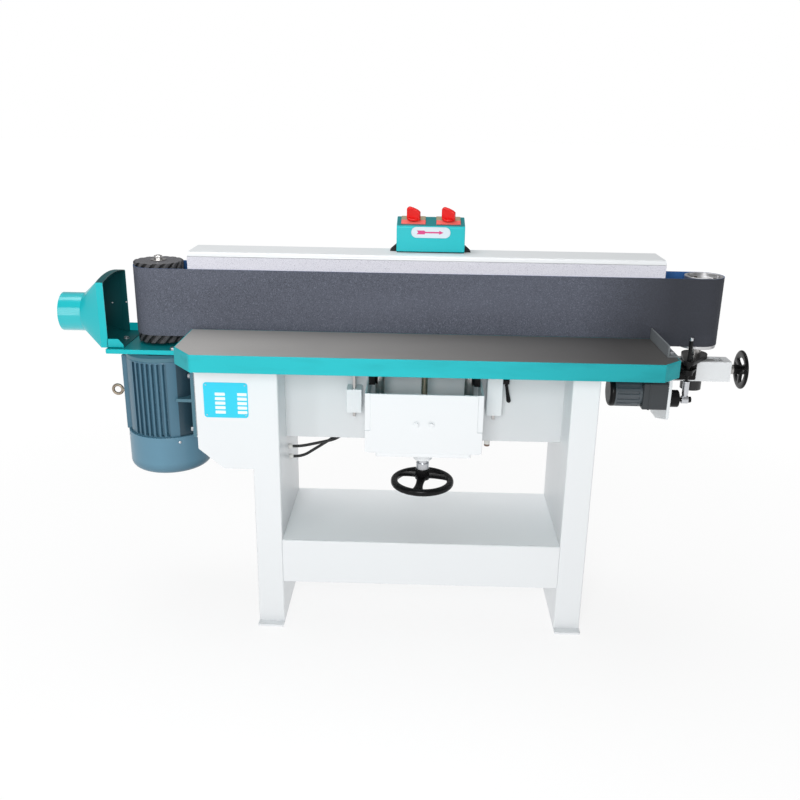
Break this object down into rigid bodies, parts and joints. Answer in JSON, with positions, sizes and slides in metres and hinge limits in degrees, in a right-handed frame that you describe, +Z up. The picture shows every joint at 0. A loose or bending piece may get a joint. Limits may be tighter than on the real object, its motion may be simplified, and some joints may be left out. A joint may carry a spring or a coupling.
{
  "type": "oscillating edge sander",
  "caption": "Floor-standing edge sander: a long abrasive belt on upright drums, with motor, dust hood and oscillating idler, above a rise-and-fall cast table on a sheet-metal stand.",
  "frame": {"origin": "on the floor under the middle of the machine's box", "axes": "+X along the belt towards the tension end, -Y towards the operator, +Z up"},
  "size_m": [1.851, 0.46, 1.1089],
  "materials": {
    "frame_white": "semi-gloss off-white paint",
    "turquoise_paint": "glossy turquoise paint",
    "table_iron": "ground top, turquoise painted edges",
    "motor_blue": "slate blue paint",
    "gear_grey": "dark grey paint",
    "black_steel": "blackened steel",
    "dark_steel": "oiled mill finish",
    "ground_steel": "turned and ground",
    "zinc_steel": "zinc plated",
    "core_steel": "laminated core",
    "platen_steel": "pale grey paint",
    "graphite_cloth": "speckled pale grey facing",
    "abrasive_cloth": "dark grey abrasive, blue backing",
    "drum_rubber": "black grooved rubber",
    "black_plastic": "glossy black",
    "fan_plastic": "moulded",
    "red_plastic": "glossy red",
    "switch_khaki": "khaki with a red front bevel",
    "label_white": "printed film",
    "plate_print": "printed blue plate",
    "cable_sheath": "black sheath",
    "gland_plastic": "pale moulded"
  },
  "bodies": {
    "stand": {"leg_left": "frame_white", "leg_right": "frame_white", "shelf_plate": "frame_white", "front_apron": "frame_white", "upper_beam": "frame_white", "head_plate": "frame_white", "cabinet": "frame_white", "data_plate": "plate_print", "knee_box": "frame_white", "clamp_brackets": "frame_white", "base_plate": "turquoise_paint", "frame_bolts": "zinc_steel", "dust_hood": "turquoise_paint", "platen_beam": "platen_steel", "platen_lid": "frame_white", "platen_pad": "graphite_cloth", "sanding_belt": "abrasive_cloth", "motor_frame": "motor_blue", "motor_shields": "motor_blue", "motor_stator": "core_steel", "motor_cowl": "motor_blue", "motor_eye_bolt": "zinc_steel", "switch_box": "turquoise_paint", "switch_feet": "black_steel", "switch_plates": "switch_khaki", "direction_label": "label_white", "tension_tube": "frame_white", "cables": "cable_sheath", "cable_glands": "gland_plastic"},
    "table": {"table_casting": "table_iron", "stop_fence": "dark_steel", "fence_bolts": "black_steel", "guide_posts": "ground_steel", "post_blocks": "black_steel", "lift_screw": "dark_steel", "lock_bars": "ground_steel"},
    "lift_wheel": {"lift_nut": "ground_steel", "lift_handwheel": "black_plastic"},
    "rotor": {"motor_rotor": "core_steel", "motor_bearings": "ground_steel", "motor_fan": "fan_plastic", "drive_drum": "drum_rubber", "drum_nut": "zinc_steel"},
    "carriage": {"slide_block": "black_steel", "guide_bracket": "black_steel", "gear_plate": "frame_white", "gearbox": "gear_grey", "gear_motor": "gear_grey"},
    "tension_wheel": {"tension_screw": "ground_steel", "tension_handwheel": "black_plastic"},
    "spindle": {"idler_spindle": "ground_steel", "spindle_arm": "black_steel", "guide_rod": "black_steel"},
    "idler": {"idler_drum": "ground_steel", "idler_bearings": "ground_steel"},
    "crank": {"crank": "black_steel"},
    "link": {"link_rod": "ground_steel"},
    "knob_left": {"switch_knob_left": "red_plastic"},
    "knob_right": {"switch_knob_right": "red_plastic"},
    "clamp_handle": {"clamp_lever": "black_plastic"}
  },
  "joints": [
    {"name": "rotor_spin", "type": "hinge", "parent": "stand", "child": "rotor", "pos_m": [-0.6585, 0.0965, 0.6], "axis": [0, 0, 1], "continuous": true},
    {"name": "lift_wheel_turn", "type": "hinge", "parent": "stand", "child": "lift_wheel", "pos_m": [0.0575, -0.095, 0.421], "axis": [0, 0, 1], "range_deg": [-5401, 2251]},
    {"name": "table_lift", "type": "slide", "parent": "stand", "child": "table", "axis": [0, 0, 1], "range_m": [-0.025, 0.06]},
    {"name": "tension_wheel_turn", "type": "hinge", "parent": "stand", "child": "tension_wheel", "pos_m": [0.9, 0.0815, 0.6945], "axis": [1, 0, 0], "range_deg": [-1, 3601]},
    {"name": "carriage_slide", "type": "slide", "parent": "stand", "child": "carriage", "axis": [1, 0, 0], "range_m": [-0.025, 0]},
    {"name": "spindle_stroke", "type": "slide", "parent": "carriage", "child": "spindle", "axis": [0, 0, 1], "range_m": [0, 0.005]},
    {"name": "idler_spin", "type": "hinge", "parent": "spindle", "child": "idler", "pos_m": [0.784, 0.0815, 0.85], "axis": [0, 0, 1], "continuous": true},
    {"name": "crank_spin", "type": "hinge", "parent": "carriage", "child": "crank", "pos_m": [0.7475, 0.003, 0.634], "axis": [1, 0, 0], "continuous": true},
    {"name": "link_swing", "type": "hinge", "parent": "crank", "child": "link", "pos_m": [0.7475, 0.003, 0.6315], "axis": [1, 0, 0], "continuous": true},
    {"name": "knob_left_turn", "type": "hinge", "parent": "stand", "child": "knob_left", "pos_m": [0.0195, 0.128, 1.0705], "axis": [0, -0.2239, 0.9746], "range_deg": [-60, 60]},
    {"name": "knob_right_turn", "type": "hinge", "parent": "stand", "child": "knob_right", "pos_m": [0.1115, 0.128, 1.0705], "axis": [0, -0.2239, 0.9746], "range_deg": [-60, 60]},
    {"name": "clamp_lever_turn", "type": "hinge", "parent": "stand", "child": "clamp_handle", "pos_m": [0.2605, -0.033, 0.684], "axis": [1, 0, 0], "range_deg": [-110, 0]}
  ],
  "couplings": [
    {"joint": "idler_spin", "follows": "rotor_spin", "ratio": 1.3},
    {"joint": "lift_wheel_turn", "follows": "table_lift", "rad_per_m": -1570.8},
    {"joint": "tension_wheel_turn", "follows": "carriage_slide", "rad_per_m": -2513.3},
    {"joint": "link_swing", "follows": "crank_spin", "ratio": -1}
  ]
}
